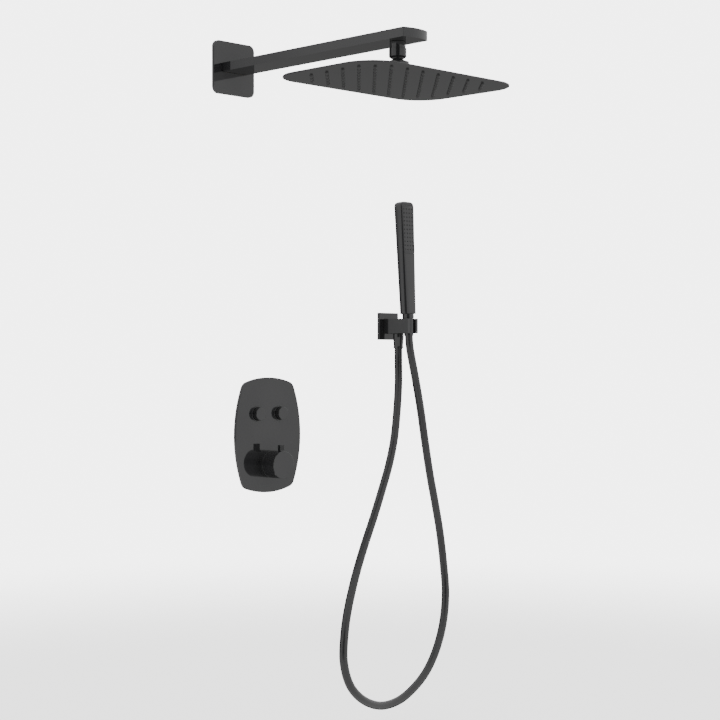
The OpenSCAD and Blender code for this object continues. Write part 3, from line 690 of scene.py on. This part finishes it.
HEAD_W, HEAD_D, HEAD_R = 300, 200, 50
HEAD_INNER_R = 22          # the corner radius stops shrinking here
HEAD_STEPS = 12
SHEET_T = 1
NOZZLE_HOLE_R = 2.5
NOZZLE_PITCH = 30
NOZZLE_SIDES = 16
BOSS_HOLE = 10.02          # side of the square ring that stands for the boss hole
ROOF_TOP, ROOF_LOW = 7.0, 5.8
ROOF_LOOPS = (0.35, 0.7)   # loops between the dome's edge and the boss

# Each pair is how far in from the head's outline, and how high above the lower sheet
SHELL_OUTSIDE = [(0.0, 1.02), (0.0, 1.7), (0.3, 2.0), (13.0, 2.0), (14.2, 2.1), (15.5, 2.5),
                 (18, 3.5), (22, 5.0), (25, 6.05), (27, 6.6), (29, 6.9), (32, ROOF_TOP)]
SHELL_INSIDE = [(30, ROOF_LOW), (25, 5.0), (17, 1.9), (15.5, 1.02)]
MAT_EDGE = [(23.3, 1.02), (23.0, 1.2), (23.0, 1.6), (23.3, 1.8)]

# Radius and height
NOZZLE = [(2.3, 1.05), (2.25, 0.0), (1.85, -2.5), (1.6, -2.95), (1.35, -3.0), (0.8, -3.0),
          (0.65, -2.8), (0.6, -1.8), (AXIS, -1.8), (AXIS, 1.05)]


def nozzle_sites():
    """Nine columns of six without the four corners, and a second set between them."""
    sites = [(i - 4, j - 2.5) for i in range(9) for j in range(6)
             if not (i in (0, 8) and j in (0, 5))]
    sites += [(i - 3.5, j - 2) for i in range(8) for j in range(5)]
    return [(NOZZLE_PITCH * i, NOZZLE_PITCH * j) for i, j in sites]


def head_ring(inset, height):
    return round_rect_ring(HEAD_W - 2 * inset, HEAD_D - 2 * inset,
                           max(HEAD_R - inset, HEAD_INNER_R), height, HEAD_STEPS)


def copies(shape, sites):
    """The same (points, faces) at each site."""
    points, faces = shape
    return [([(a + x, b + y, c) for a, b, c in points], faces) for x, y in sites]


def make_head():
    place = at((SWIVEL.x, SWIVEL.y, FACE_Z))
    holes = [circle_ring(x, y, NOZZLE_HOLE_R) for x, y in nozzle_sites()]
    outline = round_rect_outline(HEAD_W, HEAD_D, HEAD_R, steps=24)
    plate_piece("spray_sheet", outline, holes, 0, SHEET_T, 0.3, "black_metal", "rain_head",
                ["head_face"], place)

    rings = [head_ring(inset, height) for inset, height in SHELL_OUTSIDE]
    for share in ROOF_LOOPS:
        rings.append([(x * (1 - share), y * (1 - share), ROOF_TOP) for x, y, _ in rings[-1]])
    for height in (ROOF_TOP, ROOF_LOW):
        rings.append(round_rect_ring(BOSS_HOLE, BOSS_HOLE, 5, height, HEAD_STEPS))
    rings += [head_ring(inset, height) for inset, height in SHELL_INSIDE]
    points, faces = loft(rings, closed=True)
    mesh_piece("head_shell", points, faces, "black_metal", "rain_head", ["head_back"], place,
               SOFT_ANGLE)

    mat = loft([head_ring(inset, height) for inset, height in MAT_EDGE])
    points, faces = join([mat] + copies(lathe(NOZZLE, NOZZLE_SIDES), nozzle_sites()))
    mesh_piece("nozzle_mat", points, faces, "nozzle_rubber", "rain_head", ["head_nozzles"], place)


# ---- Hand shower ----

BODY_LOW, BODY_TOP, BODY_T = 20, 205, 18
BODY_LOW_W, BODY_TOP_W = 28, 31
CROWN_R, EDGE_R, FOOT_R = 8, 3, 8
FOOT_RISE = 0.6            # the rounding round the foot
BODY_STEPS = 24
CROWN_TURNS = (12, 24, 36, 46, 56, 65, 73, 80, 86, 90)     # degrees up the crown
RING_STEPS = 10
PANEL_W, PANEL_LEN, PANEL_R = 25, 80, 5
PANEL_Z = BODY_TOP - 6 - PANEL_LEN / 2
PANEL_SLOT = 0.2
POCKET_DEPTH, POCKET_REACH = 1.6, 2
CHAMBER_HALF_W, CHAMBER_HALF_LEN, CHAMBER_START, CHAMBER_DEPTH = 11, 36, 1, 8.6
DOT_PITCH_X, DOT_PITCH_Y = 6.2, 6.7
DOT_COLUMNS, DOT_ROWS = 4, 11
DOT_HOLE_R, DOT_HOLE_SIDES, DOT_SIDES = 1.3, 16, 14
PAD_W, PAD_LEN, PAD_R = 21, 71, 1
PAD_BACK, PAD_FRONT = -2.3, -1.6

# Each pair is how far in from the panel's outline, and how high over the body's front
PANEL_EDGE = [(0.25, -1.5), (0, -1.25), (0, -0.4), (0.07, -0.22), (0.25, -0.15)]
DOT_HOLE = [(AXIS, 1), (AXIS, -3), (DOT_HOLE_R, -3), (DOT_HOLE_R, 1)]
DOT = [(1.2, -1.7), (1.2, 0.0), (1.05, 0.5), (0.9, 0.68), (0.5, 0.7), (0.35, 0.5),
       (0.3, 0.0), (AXIS, 0.0), (AXIS, -1.7)]


def drawn_in(radius, rise):
    """How far a quarter round of this radius has come in, at this rise above its start."""
    return radius - math.sqrt(max(radius ** 2 - rise ** 2, 0)) if rise > 0 else 0


def body_ring(height):
    """The handset's outline at a height: wider to the top, with a round crown."""
    share = min((height - BODY_LOW) / (BODY_TOP - CROWN_R - BODY_LOW), 1)
    width = BODY_LOW_W + (BODY_TOP_W - BODY_LOW_W) * share
    width -= 2 * drawn_in(CROWN_R, height - (BODY_TOP - CROWN_R))
    depth = BODY_T - 2 * drawn_in(EDGE_R, height - (BODY_TOP - EDGE_R))
    corner = min(FOOT_R + (EDGE_R - FOOT_R) * share, depth / 2 - 0.1, width / 2 - 0.1)
    return round_rect_ring(width, depth, corner, height, RING_STEPS)


def spray_dots():
    middle_x, middle_y = (DOT_COLUMNS - 1) / 2, (DOT_ROWS - 1) / 2
    return [((i - middle_x) * DOT_PITCH_X, (j - middle_y) * DOT_PITCH_Y)
            for i in range(DOT_COLUMNS) for j in range(DOT_ROWS)]


def make_handset_body(place, front):
    foot, crown = BODY_LOW + FOOT_RISE, BODY_TOP - CROWN_R
    heights = [foot + (crown - foot) * k / BODY_STEPS for k in range(BODY_STEPS + 1)]
    heights += [crown + CROWN_R * math.sin(math.radians(turn)) for turn in CROWN_TURNS]
    rings = [round_rect_ring(BODY_LOW_W - 2 * FOOT_RISE, BODY_T - 2 * FOOT_RISE,
                             FOOT_R - FOOT_RISE, BODY_LOW, RING_STEPS)]
    points, faces = loft(rings + [body_ring(height) for height in heights])
    body = mesh_piece("handset_shell", points, faces, "black_plastic", "handset",
                      ["handset_body"], place, SOFT_ANGLE)
    outline = round_rect_outline(PANEL_W + 2 * PANEL_SLOT, PANEL_LEN + 2 * PANEL_SLOT,
                                 PANEL_R + PANEL_SLOT)
    pocket = loft([[(x, y, z + PANEL_Z) for x, z in outline]
                   for y in (front + POCKET_DEPTH, front - POCKET_REACH)])
    cut(body, cutter(*pocket, place))
    cut(body, box_cutter(
        (-CHAMBER_HALF_W, front + CHAMBER_START, PANEL_Z - CHAMBER_HALF_LEN),
        (CHAMBER_HALF_W, front + CHAMBER_DEPTH, PANEL_Z + CHAMBER_HALF_LEN), place))
    shade(body, SOFT_ANGLE)


def make_spray_panel(flat):
    points, faces = loft([round_rect_ring(PANEL_W - 2 * inset, PANEL_LEN - 2 * inset,
                                          PANEL_R - inset, height, RING_STEPS)
                          for inset, height in PANEL_EDGE])
    panel = mesh_piece("spray_panel", points, faces, "black_plastic", "handset",
                       ["handset_face"], flat)
    holes = join(copies(lathe(DOT_HOLE, DOT_HOLE_SIDES), spray_dots()))
    cut(panel, cutter(*holes, flat))
    shade(panel, FLAT_ANGLE)
    pad = loft([round_rect_ring(PAD_W, PAD_LEN, PAD_R, height, steps=3)
                for height in (PAD_BACK, PAD_FRONT)])
    points, faces = join([pad] + copies(lathe(DOT, DOT_SIDES), spray_dots()))
    mesh_piece("spray_tips", points, faces, "nozzle_rubber", "handset", ["handset_nozzles"], flat)


def make_handset():
    place = at(CRADLE, LEAN)
    front = -BODY_T / 2
    make_handset_body(place, front)
    make_spray_panel(place @ at((0, front, PANEL_Z), OUT_OF_WALL))


make_swivel()
make_knob()
make_buttons()
make_hose_nuts()
make_valve_plate()
make_outlet_cover()
make_threads()
make_head()
make_handset()


# ---- Carried-over CAD nodes ----

EDGE_WIDTH = {"arm_bar": 0.5, "arm_flange": 0.5, "valve_body": 1.2, "holder_block": 0.35,
              "stop_button": 0.2, "inlet_filter": 0.1}
PLAIN_EDGE = 0.3
WELD = 0.000002            # metres
ROUND_WIRE = ("button_spring_left", "button_spring_right")


def finish_cad_nodes():
    """Every node gets its finish, and its sharp edges a small radius."""
    for name, node in frame["nodes"].items():
        node.data.materials.clear()
        node.data.materials.append(FINISHES[SLOT_OF[name]])
        weld = node.modifiers.new("weld", "WELD")
        weld.merge_threshold = WELD
        if name in ROUND_WIRE:
            node.modifiers.new("round", "SUBSURF").levels = 1
            continue
        edge = node.modifiers.new("edge", "BEVEL")
        edge.width = EDGE_WIDTH.get(name, PLAIN_EDGE) * MM
        edge.segments = 3
        edge.limit_method = "ANGLE"
        edge.angle_limit = math.radians(SOFT_ANGLE)
        edge.harden_normals = True


finish_cad_nodes()


# ---- Stage and light ----

FLOOR_R, FLOOR_FADE, FLOOR_BELOW = 2.6, 0.9, 0.03       # metres
FLOOR_SIDES = 96
FLOOR_TONE = (0.86, 0.86, 0.85, 1)
FLOOR_GLOW = 1.6


def make_stage():
    """A round pale floor under the set, which fades out into the white surroundings."""
    low, high = cad_box
    centre = Vector(((low[0] + high[0]) / 2, (low[1] + high[1]) / 2, low[2] - FLOOR_BELOW))
    mesh = bpy.data.meshes.new("floor")
    ring = [(x, y, 0) for x, y in circle_ring(0, 0, FLOOR_R, FLOOR_SIDES)]
    mesh.from_pydata(ring, [], [list(range(FLOOR_SIDES))])
    floor = bpy.data.objects.new("floor", mesh)
    floor.location = centre
    bpy.context.scene.collection.objects.link(floor)

    material = bpy.data.materials.new("floor")
    material.use_nodes = True
    tree = material.node_tree
    shader = tree.nodes["Principled BSDF"]
    shader.inputs["Base Color"].default_value = FLOOR_TONE
    shader.inputs["Roughness"].default_value = 0.8
    shader.inputs["Emission Color"].default_value = (1, 1, 1, 1)
    shader.inputs["Emission Strength"].default_value = FLOOR_GLOW
    coords = tree.nodes.new("ShaderNodeTexCoord")
    away = tree.nodes.new("ShaderNodeVectorMath")
    away.operation = "LENGTH"
    wire(tree, coords, "Object", away, 0)
    fade = tree.nodes.new("ShaderNodeMapRange")
    fade.interpolation_type = "SMOOTHSTEP"
    fade.inputs["From Min"].default_value = FLOOR_FADE
    fade.inputs["From Max"].default_value = FLOOR_R * 0.97
    wire(tree, away, "Value", fade, "Value")
    clear = tree.nodes.new("ShaderNodeBsdfTransparent")
    mix = tree.nodes.new("ShaderNodeMixShader")
    wire(tree, fade, "Result", mix, "Fac")
    wire(tree, shader, "BSDF", mix, 1)
    wire(tree, clear, "BSDF", mix, 2)
    wire(tree, mix, "Shader", tree.nodes["Material Output"], "Surface")
    floor.data.materials.append(material)
    floor.visible_glossy = False
    floor.visible_diffuse = False


SKY_SEEN = 5.0             # what the camera sees as plain white
SKY_LIGHT = 1.32
# Dim zones: azimuth from +X and height in degrees, the cosines where the zone starts and is
# full, and the share of the light that is left there
SKY_ZONES = [
    (81, -20, 0.47, 0.61, 0.08),
    (-135, 0, 0.84, 0.95, 0.06),
]
SKY_BELOW = (-0.13, -0.08)     # sines of the heights between which those zones end
SKY_UNDER = (45, 0, 0.3, 0.7, 0.14)     # the one zone of the light from below


def sky_zone(tree, coords, azimuth, height, start, full, left):
    """A share of the light that falls from 1 to what is left towards one direction."""
    facing = tree.nodes.new("ShaderNodeVectorMath")
    facing.operation = "DOT_PRODUCT"
    turn, rise = math.radians(azimuth), math.radians(height)
    facing.inputs[1].default_value = (math.cos(turn) * math.cos(rise),
                                      math.sin(turn) * math.cos(rise), math.sin(rise))
    wire(tree, coords, "Generated", facing, 0)
    share = tree.nodes.new("ShaderNodeMapRange")
    share.interpolation_type = "SMOOTHSTEP"
    share.inputs["From Min"].default_value = start
    share.inputs["From Max"].default_value = full
    share.inputs["To Min"].default_value = 1.0
    share.inputs["To Max"].default_value = left
    wire(tree, facing, "Value", share, "Value")
    return share


def make_light():
    """A white studio: bright in front and at the sides, dim behind the wall and behind the camera."""
    world = bpy.data.worlds.new("studio")
    world.use_nodes = True
    tree = world.node_tree
    background = tree.nodes["Background"]
    background.inputs["Color"].default_value = (1, 1, 1, 1)
    coords = tree.nodes.new("ShaderNodeTexCoord")
    split = tree.nodes.new("ShaderNodeSeparateXYZ")
    wire(tree, coords, "Generated", split, "Vector")
    above = tree.nodes.new("ShaderNodeMapRange")
    above.interpolation_type = "SMOOTHSTEP"
    above.inputs["From Min"].default_value = SKY_BELOW[0]
    above.inputs["From Max"].default_value = SKY_BELOW[1]
    wire(tree, split, "Z", above, "Value")
    last = tree.nodes.new("ShaderNodeValue")
    last.outputs[0].default_value = 1.0
    for zone in SKY_ZONES:
        share = sky_zone(tree, coords, *zone)
        product = tree.nodes.new("ShaderNodeMath")
        product.operation = "MULTIPLY"
        tree.links.new(last.outputs[0], product.inputs[0])
        tree.links.new(share.outputs["Result"], product.inputs[1])
        last = product
    under = sky_zone(tree, coords, *SKY_UNDER)
    gate = tree.nodes.new("ShaderNodeMix")
    tree.links.new(above.outputs["Result"], gate.inputs["Factor"])
    tree.links.new(under.outputs["Result"], gate.inputs["A"])
    tree.links.new(last.outputs[0], gate.inputs["B"])
    strength = tree.nodes.new("ShaderNodeMath")
    strength.operation = "MULTIPLY"
    strength.inputs[1].default_value = SKY_LIGHT
    wire(tree, gate, "Result", strength, 0)
    path = tree.nodes.new("ShaderNodeLightPath")
    seen = tree.nodes.new("ShaderNodeMix")
    seen.inputs["B"].default_value = SKY_SEEN
    tree.links.new(path.outputs["Is Camera Ray"], seen.inputs["Factor"])
    tree.links.new(strength.outputs[0], seen.inputs["A"])
    wire(tree, seen, "Result", background, "Strength")
    bpy.context.scene.world = world


make_stage()
make_light()
